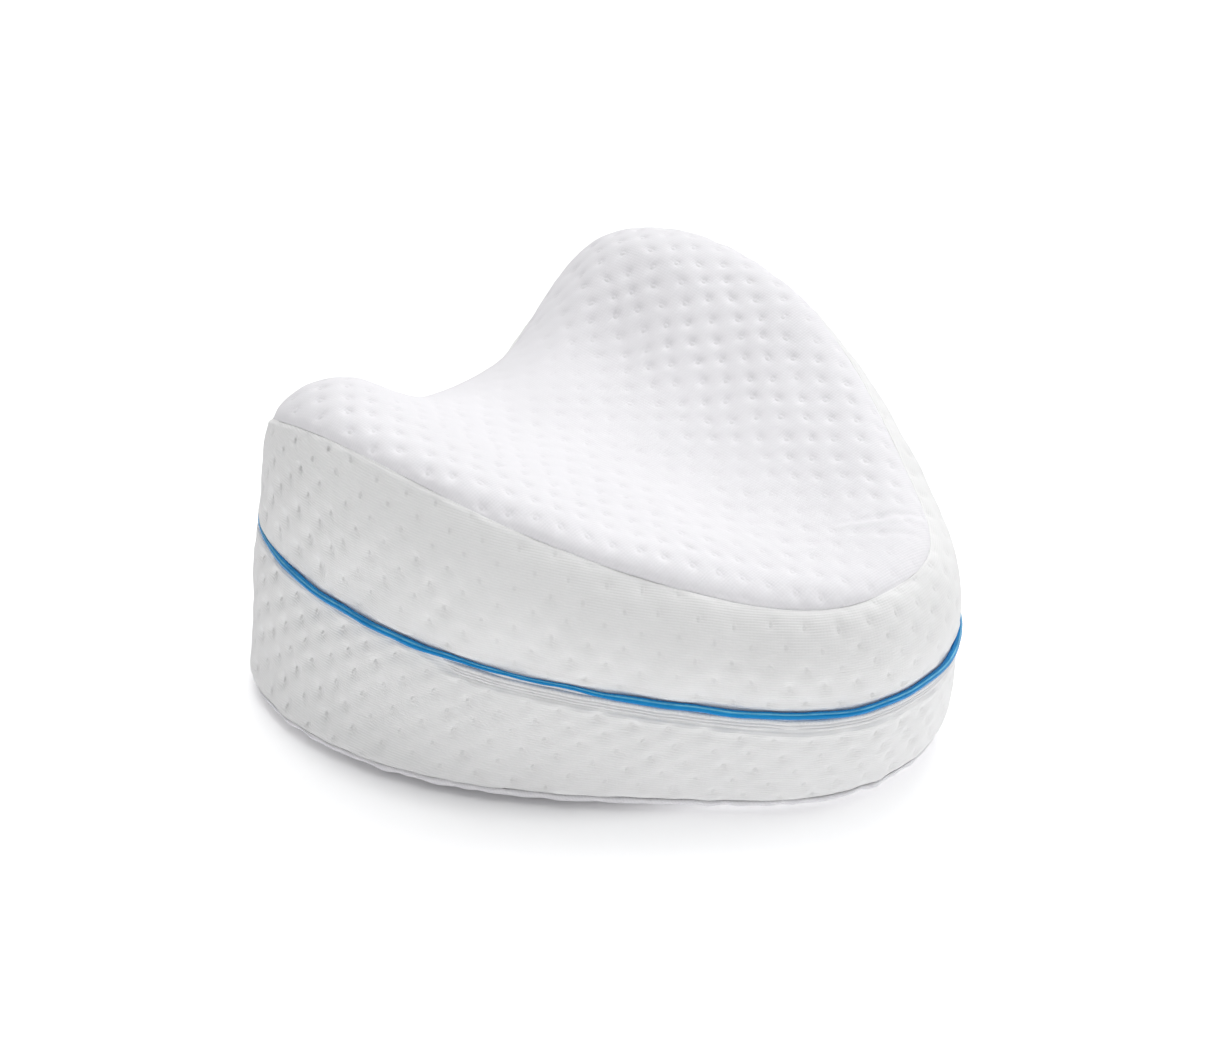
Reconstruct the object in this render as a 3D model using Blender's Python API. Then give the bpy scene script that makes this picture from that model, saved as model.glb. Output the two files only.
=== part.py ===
# Heart-shaped knee pillow with a leg channel over its top, standing on its flat underside.
# +X runs from the notch between the two lobes to the tip, +Z is up, and the pillow is even about y = 0.
# Sizes are in millimetres and become metres where a mesh is made.

import bmesh
import bpy
import numpy as np

METRES = 0.001

# Half of the piping line seen from above: distance from the back, and half width.
HALF_OUTLINE = (
    (20.0, 0.0),
    (12.7, 81.9),
    (38.0, 109.9),
    (121.7, 113.4),
    (204.2, 73.2),
    (245.5, 35.4),
    (254.8, 0.0),
)
LENGTH = 254.8
CENTRE_STATION = 119.8
WIDEST_STATION = 60.0

# Heights over the surface that the pillow stands on.
PIPING_HEIGHT_BACK = 70.0
PIPING_FALL = 0.107
RIDGE_HEIGHTS = (134.6, 130.8, 106.9, 89.2)
CHANNEL_DEPTHS = (41.0, 26.3, -3.0)
CHANNEL_SPREAD = 1.084
CHANNEL_POWER = 2.12
CHANNEL_STEEPNESS = 0.55
STEEP_REACH = 150.0
NARROWEST_CHANNEL = 32.0

# Top panel: how far its seam lies inside the piping line and below the ridge, and the rounding between.
TOP_SEAM_INSETS = (2.9, 12.3, 10.6)
TOP_SEAM_DROPS = (32.8, 9.4, 8.0, 9.1)
SHOULDER_WIDTH = 33.7
SHOULDER_POWER = 1.75
NOTCH_REACH = 75.0
NOTCH_HALF_WIDTH = 84.0
NOTCH_DROP_CUT = 0.35

# Bottom panel: how far its seam flares out, how high it sits, and the rounding down to the surface.
BOTTOM_SEAM_FLARES = (-2.0, 9.3, 2.4, -2.6)
BOTTOM_SEAM_HEIGHT = 6.5
BOTTOM_EDGE_WIDTH = 12.8

# Side bands: crown over their height, how that crown is shared out, and the lean of the whole pillow.
UPPER_BAND_CROWNS = (-1.5, 3.1, 2.9)
LOWER_BAND_CROWNS = (2.9, 2.7, 0.9)
CROWN_NEAR_PIPING = 1.2
CROWN_NEAR_SEAM = 0.8
TUCK_NEAR_SEAM = 0.15
RISE_NEAR_PIPING = 0.36
RISE_NEAR_SEAM = 0.80
LEAN = 0.033

# Cloth panels let into the filled body.
PANEL_THICKNESS = 2.0
GAP = 0.3

# Piping cord and the groove that it sits in.
PIPING_RADIUS = 1.65
PIPING_STAND_OUT = 1.1
GROOVE_DEPTH = 1.4
GROOVE_HALF_HEIGHT = 2.6
GROOVE_LIP = 0.2

# Zip line under the piping: its section is (stand-out from the band, height against the piping).
ZIP_SECTION = (
    (0.00, -5.55),
    (0.60, -5.55),
    (0.60, -4.05),
    (1.15, -3.80),
    (1.15, -2.65),
    (0.80, -2.35),
    (0.00, -2.35),
)
ZIP_STAND_OFF = 0.72
ZIP_BED_HEIGHT = 7.0
ZIP_BED_LIP = 0.45
ZIP_FIRST_STATION = 118.0

# How finely the shapes are divided.
AROUND = 88
DENSE = 2400
TOP_RINGS = 9
RING_CROWDING = 1.5
UPPER_BAND_STEPS = (0.14, 0.32, 0.52, 0.72, 0.88)
LOWER_BAND_STEPS = (0.30, 0.52, 0.74, 0.90)
BOTTOM_EDGE_STEPS = (1.0, 0.64, 0.32, 0.10, 0.0)
LEAST_SQUARENESS = 0.3
PIPING_BEVEL_STEPS = 2
SHARP_ANGLE = 0.7

# Principled colours: linear RGB and roughness.
FINISHES = {
    "knit": ((0.84, 0.84, 0.86), 0.85),
    "piping": ((0.01, 0.19, 0.55), 0.45),
    "zip": ((0.80, 0.80, 0.81), 0.55),
}


def clear_scene():
    for thing in list(bpy.data.objects):
        bpy.data.objects.remove(thing, do_unlink=True)


def through(values, stations):
    """A smooth curve through values spread evenly from the back to the tip, read at the stations."""
    spots = np.linspace(0.0, LENGTH, len(values))
    return np.polyval(np.polyfit(spots, values, len(values) - 1), stations)


def closed_spline(knots, count):
    """Points on the closed cubic spline through the knots."""
    knots = np.asarray(knots, float)
    steps = np.sqrt(np.hypot(*(np.roll(knots, -1, axis=0) - knots).T))
    total = len(knots)
    matrix = np.zeros((total, total))
    right = np.zeros((total, 2))
    for here in range(total):
        before = (here - 1) % total
        after = (here + 1) % total
        matrix[here, before] = steps[before]
        matrix[here, here] = 2.0 * (steps[before] + steps[here])
        matrix[here, after] = steps[here]
        rise = (knots[after] - knots[here]) / steps[here]
        fall = (knots[here] - knots[before]) / steps[before]
        right[here] = 6.0 * (rise - fall)
    bend = np.linalg.solve(matrix, right)
    starts = np.concatenate([[0.0], np.cumsum(steps)])
    spots = np.linspace(0.0, starts[-1], count, endpoint=False)
    part = np.clip(np.searchsorted(starts, spots, side="right") - 1, 0, total - 1)
    after = (part + 1) % total
    span = steps[part][:, None]
    ahead = (spots - starts[part])[:, None]
    back = span - ahead
    curve = (bend[part] * back**3 + bend[after] * ahead**3) / (6.0 * span)
    curve += (knots[part] / span - bend[part] * span / 6.0) * back
    curve += (knots[after] / span - bend[after] * span / 6.0) * ahead
    return curve


def unit(vectors):
    return vectors / np.linalg.norm(vectors, axis=-1)[..., None]


def piping_outline():
    """The piping line from above: evenly spaced points from the notch, and their outward normals."""
    mirrored = [(x, -y) for x, y in HALF_OUTLINE[-2:0:-1]]
    dense = closed_spline(list(HALF_OUTLINE) + mirrored, DENSE)
    closed = np.vstack([dense, dense[:1]])
    along = np.concatenate([[0.0], np.cumsum(np.hypot(*np.diff(closed, axis=0).T))])
    spots = np.linspace(0.0, along[-1], AROUND, endpoint=False)
    points = np.stack([np.interp(spots, along, closed[:, i]) for i in (0, 1)], axis=1)
    run = unit(np.roll(points, -1, axis=0) - np.roll(points, 1, axis=0))
    outward = np.stack([-run[:, 1], run[:, 0]], axis=1)
    return points, outward, dense


OUTLINE, OUTWARD, DENSE_OUTLINE = piping_outline()


def piping_height(stations):
    return PIPING_HEIGHT_BACK - PIPING_FALL * stations


def half_width(stations):
    """Half width of the piping line, kept at its widest over the lobes."""
    side = DENSE_OUTLINE[(DENSE_OUTLINE[:, 1] > 0.0) & (DENSE_OUTLINE[:, 0] > WIDEST_STATION)]
    side = side[np.argsort(side[:, 0])]
    return np.maximum(np.interp(stations, side[:, 0], side[:, 1]), NARROWEST_CHANNEL)


def crest(x, y):
    """Height of the leg channel and the two ridges beside it."""
    across = np.clip(np.abs(y) / (half_width(x) * CHANNEL_SPREAD), 0.0, 1.0)
    dip = np.cos(0.5 * np.pi * across) ** CHANNEL_POWER
    behind = np.clip(1.0 - x / STEEP_REACH, 0.0, 1.0)
    dip = dip - CHANNEL_STEEPNESS * behind * np.sin(2.0 * np.pi * dip) / (2.0 * np.pi)
    return through(RIDGE_HEIGHTS, x) - through(CHANNEL_DEPTHS, x) * dip


def leaned(points):
    """Points shifted along x in step with their height over the piping."""
    moved = points.copy()
    moved[..., 0] += LEAN * (points[..., 2] - piping_height(OUTLINE[:, 0]))
    return moved


def spokes(seam, fractions):
    """Rings between the centre and the seam, and how far inside the seam each point lies."""
    centre = np.array([CENTRE_STATION, 0.0])
    reach = seam - centre
    length = np.linalg.norm(reach, axis=1)
    squareness = np.clip((reach * OUTWARD).sum(axis=1) / length, LEAST_SQUARENESS, 1.0)
    share = np.asarray(fractions)[:, None]
    return centre + share[..., None] * reach, (1.0 - share) * length * squareness


def top_surface():
    """Rings of the top panel's face, from the first one round the centre to the seam."""
    seam = OUTLINE - OUTWARD * through(TOP_SEAM_INSETS, OUTLINE[:, 0])[:, None]
    steps = np.arange(1, TOP_RINGS + 1) / TOP_RINGS
    plan, inside = spokes(seam, 1.0 - (1.0 - steps) ** RING_CROWDING)
    behind = np.clip(1.0 - OUTLINE[:, 0] / NOTCH_REACH, 0.0, 1.0)
    behind = behind * (1.0 - np.clip(np.abs(OUTLINE[:, 1]) / NOTCH_HALF_WIDTH, 0.0, 1.0) ** 2)
    drop = through(TOP_SEAM_DROPS, OUTLINE[:, 0]) * (1.0 - NOTCH_DROP_CUT * behind)
    height = crest(plan[..., 0], plan[..., 1])
    height = height - drop * np.clip(1.0 - inside / SHOULDER_WIDTH, 0.0, 1.0) ** SHOULDER_POWER
    return leaned(np.dstack([plan, height]))


def bottom_surface():
    """Rings of the bottom panel's face: the rim of the flat rest first, the seam last."""
    seam = OUTLINE + OUTWARD * through(BOTTOM_SEAM_FLARES, OUTLINE[:, 0])[:, None]
    plan, depth = spokes(seam, [0.0])
    rings = []
    for step in BOTTOM_EDGE_STEPS:
        share = 1.0 - step * BOTTOM_EDGE_WIDTH / depth[0]
        flat = plan[0] + share[:, None] * (seam - plan[0])
        rise = BOTTOM_SEAM_HEIGHT * (1.0 - np.sqrt(1.0 - (1.0 - step) ** 2))
        rings.append(np.column_stack([flat, np.full(AROUND, rise)]))
    return leaned(np.stack(rings))


def band_ring(share, seam, crowns):
    """One ring of a side band, from the piping line at share 0 to its seam at share 1."""
    crown = through(crowns, OUTLINE[:, 0])
    early = 3.0 * share * (1.0 - share) ** 2
    late = 3.0 * share**2 * (1.0 - share)
    end = share**3
    base = piping_height(OUTLINE[:, 0])
    seam_plan = seam[:, :2].copy()
    seam_plan[:, 0] -= LEAN * (seam[:, 2] - base)
    offset = ((seam_plan - OUTLINE) * OUTWARD).sum(axis=1)
    out = early * CROWN_NEAR_PIPING * crown + end * offset
    out += late * (CROWN_NEAR_SEAM * crown + TUCK_NEAR_SEAM * np.minimum(offset, 0.0))
    height = base + (seam[:, 2] - base) * (early * RISE_NEAR_PIPING + late * RISE_NEAR_SEAM + end)
    return leaned(np.column_stack([OUTLINE + out[:, None] * OUTWARD, height]))


def side_ring(out, height):
    """One ring that stands out from the piping line by out, at a height against the piping."""
    base = piping_height(OUTLINE[:, 0]) + height
    return leaned(np.column_stack([OUTLINE + out * OUTWARD, base]))


def face_normals(rings, upward):
    """Unit normals of a panel's face at its ring points, pointing out of the pillow."""
    across = np.gradient(rings, axis=0)
    along = np.roll(rings, -1, axis=1) - np.roll(rings, 1, axis=1)
    normals = unit(np.cross(across, along))
    return normals * upward * np.sign(normals[..., 2].sum())


def panel_and_bed(face, band_side, upward):
    """A panel's ring points, and those of the bed for it in the body, mitred where it meets the band."""
    normals = face_normals(face, upward)
    seam = face[-1]
    run = np.roll(seam, -1, axis=0) - np.roll(seam, 1, axis=0)
    wall = unit(np.cross(run, band_side - seam))
    wall *= np.sign((wall[:, :2] * OUTWARD).sum(axis=1))[:, None]
    mitre = unit(normals[-1] + wall)
    apart = 0.5 * GAP * unit(unit(band_side - seam) - unit(face[-2] - seam))
    lean_in = (mitre * normals[-1]).sum(axis=1)[:, None]
    under = face - normals * PANEL_THICKNESS
    under[-1] = seam - mitre * PANEL_THICKNESS / lean_in - apart
    bed = face - normals * (PANEL_THICKNESS + GAP)
    bed[-1] = seam - mitre * (PANEL_THICKNESS + GAP) / lean_in + apart
    panel_face = face.copy()
    panel_face[-1] = seam - apart
    return panel_face, under, bed, seam + apart


def material(finish):
    colour, roughness = FINISHES[finish]
    made = bpy.data.materials.new(finish)
    made.use_nodes = True
    shader = made.node_tree.nodes["Principled BSDF"]
    shader.inputs["Base Color"].default_value = (*colour, 1.0)
    shader.inputs["Roughness"].default_value = roughness
    return made


def add_object(name, data, finish):
    made = bpy.data.objects.new(name, data)
    bpy.context.scene.collection.objects.link(made)
    data.materials.append(material(finish))
    return made


def centred(points):
    """Points moved so that the middle of the pillow's box lies over the origin, in metres."""
    return (points - [MIDDLE, 0.0, 0.0]) * METRES


def pole(height):
    """The point over the centre station at a height."""
    lean = LEAN * (height - piping_height(CENTRE_STATION))
    return np.array([CENTRE_STATION + lean, 0.0, height])


def ringed_solid(name, first_height, rings, last_height, finish):
    """A closed solid skinned over rings of points, with a pole at each end."""
    mesh = bmesh.new()
    loops = [[mesh.verts.new(point) for point in centred(ring)] for ring in rings]
    for height, loop in ((first_height, loops[0]), (last_height, loops[-1])):
        tip = mesh.verts.new(centred(pole(height)))
        for here in range(AROUND):
            mesh.faces.new((tip, loop[here], loop[(here + 1) % AROUND]))
    for low, high in zip(loops, loops[1:]):
        for here in range(AROUND):
            after = (here + 1) % AROUND
            mesh.faces.new((low[here], low[after], high[after]))
            mesh.faces.new((low[here], high[after], high[here]))
    bmesh.ops.recalc_face_normals(mesh, faces=mesh.faces)
    data = bpy.data.meshes.new(name)
    mesh.to_mesh(data)
    mesh.free()
    data.shade_smooth()
    data.set_sharp_from_angle(angle=SHARP_ANGLE)
    return add_object(name, data, finish)


def make_cushion():
    """The filled body with both side bands, the groove for the piping and the beds for the panels."""
    rings = list(BOTTOM_BED) + [LOWER_EDGE] + LOWER_RINGS[::-1]
    rings += [side_ring(ZIP_BED_LIP, -ZIP_BED_HEIGHT), side_ring(GROOVE_LIP, -GROOVE_HALF_HEIGHT)]
    rings += [side_ring(-GROOVE_DEPTH, 0.0), side_ring(GROOVE_LIP, GROOVE_HALF_HEIGHT)]
    rings += UPPER_RINGS + [UPPER_EDGE] + list(TOP_BED)[::-1]
    bed_depth = PANEL_THICKNESS + GAP
    return ringed_solid("cushion", bed_depth, rings, CENTRE_HEIGHT - bed_depth, "knit")


def make_top_panel():
    """The cut of cloth over the leg channel and both ridges."""
    rings = list(TOP_PANEL) + list(TOP_UNDER)[::-1]
    return ringed_solid("top_panel", CENTRE_HEIGHT, rings, CENTRE_HEIGHT - PANEL_THICKNESS, "knit")


def make_bottom_panel():
    """The cut of cloth that the pillow stands on."""
    rings = list(BOTTOM_PANEL) + list(BOTTOM_UNDER)[::-1]
    return ringed_solid("bottom_panel", 0.0, rings, PANEL_THICKNESS, "knit")


def make_piping():
    """The covered cord between the bands, all round."""
    route = centred(side_ring(PIPING_STAND_OUT, 0.0))
    data = bpy.data.curves.new("piping", "CURVE")
    data.dimensions = "3D"
    data.bevel_depth = PIPING_RADIUS * METRES
    data.bevel_resolution = PIPING_BEVEL_STEPS
    spline = data.splines.new("POLY")
    spline.points.add(len(route) - 1)
    for point, place in zip(spline.points, route):
        point.co = (*place, 1.0)
    spline.use_cyclic_u = True
    return add_object("piping", data, "piping")


def make_zip():
    """The zip line along both sides and round the tip."""
    sections = [centred(side_ring(ZIP_STAND_OFF + out, height)) for out, height in ZIP_SECTION]
    rows = np.stack(sections, axis=1)[OUTLINE[:, 0] > ZIP_FIRST_STATION]
    mesh = bmesh.new()
    loops = [[mesh.verts.new(point) for point in row] for row in rows]
    for near, far in zip(loops, loops[1:]):
        for here in range(len(near)):
            after = (here + 1) % len(near)
            mesh.faces.new((near[here], near[after], far[after], far[here]))
    mesh.faces.new(loops[0])
    mesh.faces.new(loops[-1])
    bmesh.ops.recalc_face_normals(mesh, faces=mesh.faces)
    data = bpy.data.meshes.new("zip_coil")
    mesh.to_mesh(data)
    mesh.free()
    return add_object("zip_coil", data, "zip")


TOP_FACE = top_surface()
BOTTOM_FACE = bottom_surface()
UPPER_RINGS = [band_ring(share, TOP_FACE[-1], UPPER_BAND_CROWNS) for share in UPPER_BAND_STEPS]
LOWER_RINGS = [band_ring(share, BOTTOM_FACE[-1], LOWER_BAND_CROWNS) for share in LOWER_BAND_STEPS]
CENTRE_HEIGHT = float(crest(np.array([CENTRE_STATION]), np.array([0.0]))[0])

# Both ends of the whole pillow along x: the bands and panels, and the piping round them.
ENDS = np.concatenate(UPPER_RINGS + LOWER_RINGS + [TOP_FACE[-1], BOTTOM_FACE[-1]])[:, 0]
ENDS = np.concatenate([ENDS, side_ring(PIPING_STAND_OUT + PIPING_RADIUS, 0.0)[:, 0]])
MIDDLE = 0.5 * (ENDS.min() + ENDS.max())

TOP_PANEL, TOP_UNDER, TOP_BED, UPPER_EDGE = panel_and_bed(TOP_FACE, UPPER_RINGS[-1], 1.0)
BOTTOM_PANEL, BOTTOM_UNDER, BOTTOM_BED, LOWER_EDGE = panel_and_bed(BOTTOM_FACE, LOWER_RINGS[-1], -1.0)

clear_scene()
make_cushion()
make_top_panel()
make_bottom_panel()
make_piping()
make_zip()
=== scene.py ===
"""Looks of a heart-shaped knee pillow: dimpled knit cover, blue piping and a zip line under it."""

import math

import bpy
import numpy as np
from mathutils import Matrix, Vector


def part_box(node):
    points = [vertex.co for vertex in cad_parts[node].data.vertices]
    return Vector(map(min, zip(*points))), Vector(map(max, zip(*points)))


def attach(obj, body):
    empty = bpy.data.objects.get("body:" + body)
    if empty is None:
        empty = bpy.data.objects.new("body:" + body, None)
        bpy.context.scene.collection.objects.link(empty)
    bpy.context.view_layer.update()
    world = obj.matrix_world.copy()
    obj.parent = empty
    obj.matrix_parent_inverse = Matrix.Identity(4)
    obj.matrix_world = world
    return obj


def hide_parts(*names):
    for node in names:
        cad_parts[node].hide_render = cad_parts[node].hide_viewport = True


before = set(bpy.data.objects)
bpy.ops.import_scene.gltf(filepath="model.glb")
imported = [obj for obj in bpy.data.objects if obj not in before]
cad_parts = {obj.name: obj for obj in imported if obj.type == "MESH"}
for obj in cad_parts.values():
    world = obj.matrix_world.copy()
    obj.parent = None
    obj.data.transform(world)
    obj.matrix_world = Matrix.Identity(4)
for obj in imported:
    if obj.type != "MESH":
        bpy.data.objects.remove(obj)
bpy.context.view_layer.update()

bl_info = {
    "name": "Knee pillow",
    "version": (1, 0, 0),
    "blender": (4, 5, 0),
    "location": "3D View > Sidebar > Knee pillow",
    "description": "Dresses a knee pillow with its dimpled knit cover, piping and zip",
    "category": "Object",
}

METRES = 0.001

# Shape of the pillow in millimetres, as in the solids: +X runs from the notch to the tip and +Z is up.
HALF_OUTLINE = (
    (20.0, 0.0),
    (12.7, 81.9),
    (38.0, 109.9),
    (121.7, 113.4),
    (204.2, 73.2),
    (245.5, 35.4),
    (254.8, 0.0),
)
LENGTH = 254.8
CENTRE = (119.8, 0.0)
WIDEST_STATION = 60.0
PIPING_HEIGHT_BACK = 70.0
PIPING_FALL = 0.107
RIDGE_HEIGHTS = (134.6, 130.8, 106.9, 89.2)
CHANNEL_DEPTHS = (41.0, 26.3, -3.0)
CHANNEL_SPREAD = 1.084
CHANNEL_POWER = 2.12
CHANNEL_STEEPNESS = 0.55
STEEP_REACH = 150.0
NARROWEST_CHANNEL = 32.0
TOP_SEAM_INSETS = (2.9, 12.3, 10.6)
TOP_SEAM_DROPS = (32.8, 9.4, 8.0, 9.1)
SHOULDER_WIDTH = 33.7
SHOULDER_POWER = 1.75
NOTCH_REACH = 75.0
NOTCH_HALF_WIDTH = 84.0
NOTCH_DROP_CUT = 0.35
BOTTOM_SEAM_FLARES = (-2.0, 9.3, 2.4, -2.6)
BOTTOM_SEAM_HEIGHT = 6.5
BOTTOM_EDGE_WIDTH = 12.8
UPPER_BAND_CROWNS = (-1.5, 3.1, 2.9)
LOWER_BAND_CROWNS = (2.9, 2.7, 0.9)
CROWN_NEAR_PIPING = 1.2
CROWN_NEAR_SEAM = 0.8
TUCK_NEAR_SEAM = 0.15
RISE_NEAR_PIPING = 0.36
RISE_NEAR_SEAM = 0.80
LEAN = 0.033
LEAST_SQUARENESS = 0.3
PANEL_THICKNESS = 2.0
GAP = 0.3
PIPING_RADIUS = 1.65
PIPING_STAND_OUT = 1.1

# The middle of the frame, from where the piping ends at the tip.
MIDDLE = LENGTH + PIPING_STAND_OUT + PIPING_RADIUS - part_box("piping")[1].x / METRES

# How finely the pieces are divided.
DENSE = 6000
BAND_COLUMNS = 760
LOWER_ROWS = 58
UPPER_ROWS = 52
ROW_CROWDING = 0.4
TOP_GRID = 290
BOTTOM_GRID = 170
PIPING_COLUMNS = 1400
PIPING_SIDES = 20
ZIP_COLUMNS = 1300


def through(values, stations):
    """A smooth curve through values spread evenly from the back to the tip, read at the stations."""
    spots = np.linspace(0.0, LENGTH, len(values))
    return np.polyval(np.polyfit(spots, values, len(values) - 1), stations)


def smooth_step(low, high, values):
    share = np.clip((values - low) / (high - low), 0.0, 1.0)
    return share * share * (3.0 - 2.0 * share)


def unit(vectors):
    return vectors / np.maximum(np.linalg.norm(vectors, axis=-1), 1e-9)[..., None]


def closed_spline(knots, count):
    """Points on the closed cubic spline through the knots."""
    knots = np.asarray(knots, float)
    steps = np.sqrt(np.hypot(*(np.roll(knots, -1, axis=0) - knots).T))
    total = len(knots)
    matrix = np.zeros((total, total))
    right = np.zeros((total, 2))
    for here in range(total):
        before = (here - 1) % total
        after = (here + 1) % total
        matrix[here, before] = steps[before]
        matrix[here, here] = 2.0 * (steps[before] + steps[here])
        matrix[here, after] = steps[here]
        rise = (knots[after] - knots[here]) / steps[here]
        fall = (knots[here] - knots[before]) / steps[before]
        right[here] = 6.0 * (rise - fall)
    bend = np.linalg.solve(matrix, right)
    starts = np.concatenate([[0.0], np.cumsum(steps)])
    spots = np.linspace(0.0, starts[-1], count, endpoint=False)
    part = np.clip(np.searchsorted(starts, spots, side="right") - 1, 0, total - 1)
    after = (part + 1) % total
    span = steps[part][:, None]
    ahead = (spots - starts[part])[:, None]
    back = span - ahead
    curve = (bend[part] * back**3 + bend[after] * ahead**3) / (6.0 * span)
    curve += (knots[part] / span - bend[part] * span / 6.0) * back
    curve += (knots[after] / span - bend[after] * span / 6.0) * ahead
    return curve


def evened_outline():
    """The piping line from above, with evenly spaced points from the notch, and its whole length."""
    mirrored = [(x, -y) for x, y in HALF_OUTLINE[-2:0:-1]]
    curve = closed_spline(list(HALF_OUTLINE) + mirrored, DENSE)
    closed = np.vstack([curve, curve[:1]])
    along = np.concatenate([[0.0], np.cumsum(np.hypot(*np.diff(closed, axis=0).T))])
    spots = np.linspace(0.0, along[-1], DENSE, endpoint=False)
    points = np.stack([np.interp(spots, along, closed[:, i]) for i in (0, 1)], axis=1)
    return points, along[-1]


PIPING_LINE, PERIMETER = evened_outline()
PLACES = np.arange(DENSE) * PERIMETER / DENSE
RUN = unit(np.roll(PIPING_LINE, -12, axis=0) - np.roll(PIPING_LINE, 12, axis=0))
OUTWARD = np.stack([-RUN[:, 1], RUN[:, 0]], axis=1)


def at_places(values, places):
    """Values held along the piping line, read at places along it."""
    if values.ndim == 1:
        return np.interp(places, PLACES, values, period=PERIMETER)
    return np.stack([np.interp(places, PLACES, column, period=PERIMETER) for column in values.T], axis=-1)


def piping_height(stations):
    return PIPING_HEIGHT_BACK - PIPING_FALL * stations


def half_width(stations):
    """Half width of the piping line, kept at its widest over the lobes."""
    side = PIPING_LINE[(PIPING_LINE[:, 1] > 0.0) & (PIPING_LINE[:, 0] > WIDEST_STATION)]
    side = side[np.argsort(side[:, 0])]
    return np.maximum(np.interp(stations, side[:, 0], side[:, 1]), NARROWEST_CHANNEL)


def crest(x, y):
    """Height of the leg channel and the two ridges beside it."""
    across = np.clip(np.abs(y) / (half_width(x) * CHANNEL_SPREAD), 0.0, 1.0)
    dip = np.cos(0.5 * np.pi * across) ** CHANNEL_POWER
    behind = np.clip(1.0 - x / STEEP_REACH, 0.0, 1.0)
    dip = dip - CHANNEL_STEEPNESS * behind * np.sin(2.0 * np.pi * dip) / (2.0 * np.pi)
    return through(RIDGE_HEIGHTS, x) - through(CHANNEL_DEPTHS, x) * dip


def placed(points):
    """Upright millimetre points with the pillow's lean, about the frame's middle."""
    moved = points.copy()
    moved[..., 0] += LEAN * (points[..., 2] - piping_height(points[..., 0])) - MIDDLE
    return moved


def spoke(seam, share, places):
    """A point on the line from the centre to the seam, and how far inside the seam it lies."""
    reach = at_places(seam, places) - CENTRE
    length = np.linalg.norm(reach, axis=-1)
    square = np.clip((reach * at_places(OUTWARD, places)).sum(axis=-1) / length, LEAST_SQUARENESS, 1.0)
    return CENTRE + share[..., None] * reach, (1.0 - share) * length * square


TOP_SEAM = PIPING_LINE - OUTWARD * through(TOP_SEAM_INSETS, PIPING_LINE[:, 0])[:, None]
BOTTOM_SEAM = PIPING_LINE + OUTWARD * through(BOTTOM_SEAM_FLARES, PIPING_LINE[:, 0])[:, None]


def top_face(share, places):
    """Upright points of the top panel's face, and how far inside the seam they lie."""
    plan, inside = spoke(TOP_SEAM, share, places)
    line = at_places(PIPING_LINE, places)
    behind = np.clip(1.0 - line[..., 0] / NOTCH_REACH, 0.0, 1.0)
    behind = behind * (1.0 - np.clip(np.abs(line[..., 1]) / NOTCH_HALF_WIDTH, 0.0, 1.0) ** 2)
    drop = through(TOP_SEAM_DROPS, line[..., 0]) * (1.0 - NOTCH_DROP_CUT * behind)
    height = crest(plan[..., 0], plan[..., 1])
    height = height - drop * np.clip(1.0 - inside / SHOULDER_WIDTH, 0.0, 1.0) ** SHOULDER_POWER
    return np.concatenate([plan, height[..., None]], axis=-1), inside


def bottom_face(share, places):
    """Upright points of the bottom panel's face, and how far inside the seam they lie."""
    plan, inside = spoke(BOTTOM_SEAM, share, places)
    out = 1.0 - np.clip(inside / BOTTOM_EDGE_WIDTH, 0.0, 1.0)
    rise = BOTTOM_SEAM_HEIGHT * (1.0 - np.sqrt(1.0 - out**2))
    return np.concatenate([plan, rise[..., None]], axis=-1), inside


def band_face(share, places, seam_height, flare, crowns):
    """Upright points of a side band, from the piping line at share 0 to its seam at share 1."""
    line = at_places(PIPING_LINE, places)
    crown = through(crowns, line[..., 0])
    early = 3.0 * share * (1.0 - share) ** 2
    late = 3.0 * share**2 * (1.0 - share)
    end = share**3
    base = piping_height(line[..., 0])
    out = early * CROWN_NEAR_PIPING * crown + end * flare
    out += late * (CROWN_NEAR_SEAM * crown + TUCK_NEAR_SEAM * np.minimum(flare, 0.0))
    height = base + (seam_height - base) * (early * RISE_NEAR_PIPING + late * RISE_NEAR_SEAM + end)
    plan = line + out[..., None] * at_places(OUTWARD, places)
    return np.concatenate([plan, height[..., None]], axis=-1)


def side_points(places, out, height):
    """Upright points beside the piping line, standing out and up from it."""
    line = at_places(PIPING_LINE, places)
    plan = line + np.asarray(out)[..., None] * at_places(OUTWARD, places)
    up = piping_height(line[..., 0]) + height
    return np.concatenate([plan, up[..., None]], axis=-1)


def ripple(places, lengths, seed):
    """Uneven waves along the piping line, about -1 to 1, that close on themselves."""
    draw = np.random.default_rng(seed)
    total = np.zeros_like(places)
    for length in lengths:
        turns = round(PERIMETER / length)
        total += np.cos(2.0 * np.pi * (turns * places / PERIMETER + draw.random()))
    return total / len(lengths) ** 0.5


def soft_noise(x, y, length, seed, waves=14):
    """Smooth uneven field, about -1 to 1, with features of one length."""
    draw = np.random.default_rng(seed)
    total = np.zeros_like(x)
    for _ in range(waves):
        turn = draw.random() * 2.0 * np.pi
        size = 2.0 * np.pi / (length * draw.uniform(0.7, 1.6))
        total += np.cos(size * (x * math.cos(turn) + y * math.sin(turn)) + 2.0 * np.pi * draw.random())
    return total / (0.5 * waves) ** 0.5 / 1.6


def scatter(first, second, seed):
    """A number from 0 to 1 for each pair of whole numbers, the same each run."""
    mixed = np.sin(first * 12.9898 + second * 78.233 + seed * 37.719) * 43758.5453
    return mixed - np.floor(mixed)


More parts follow.
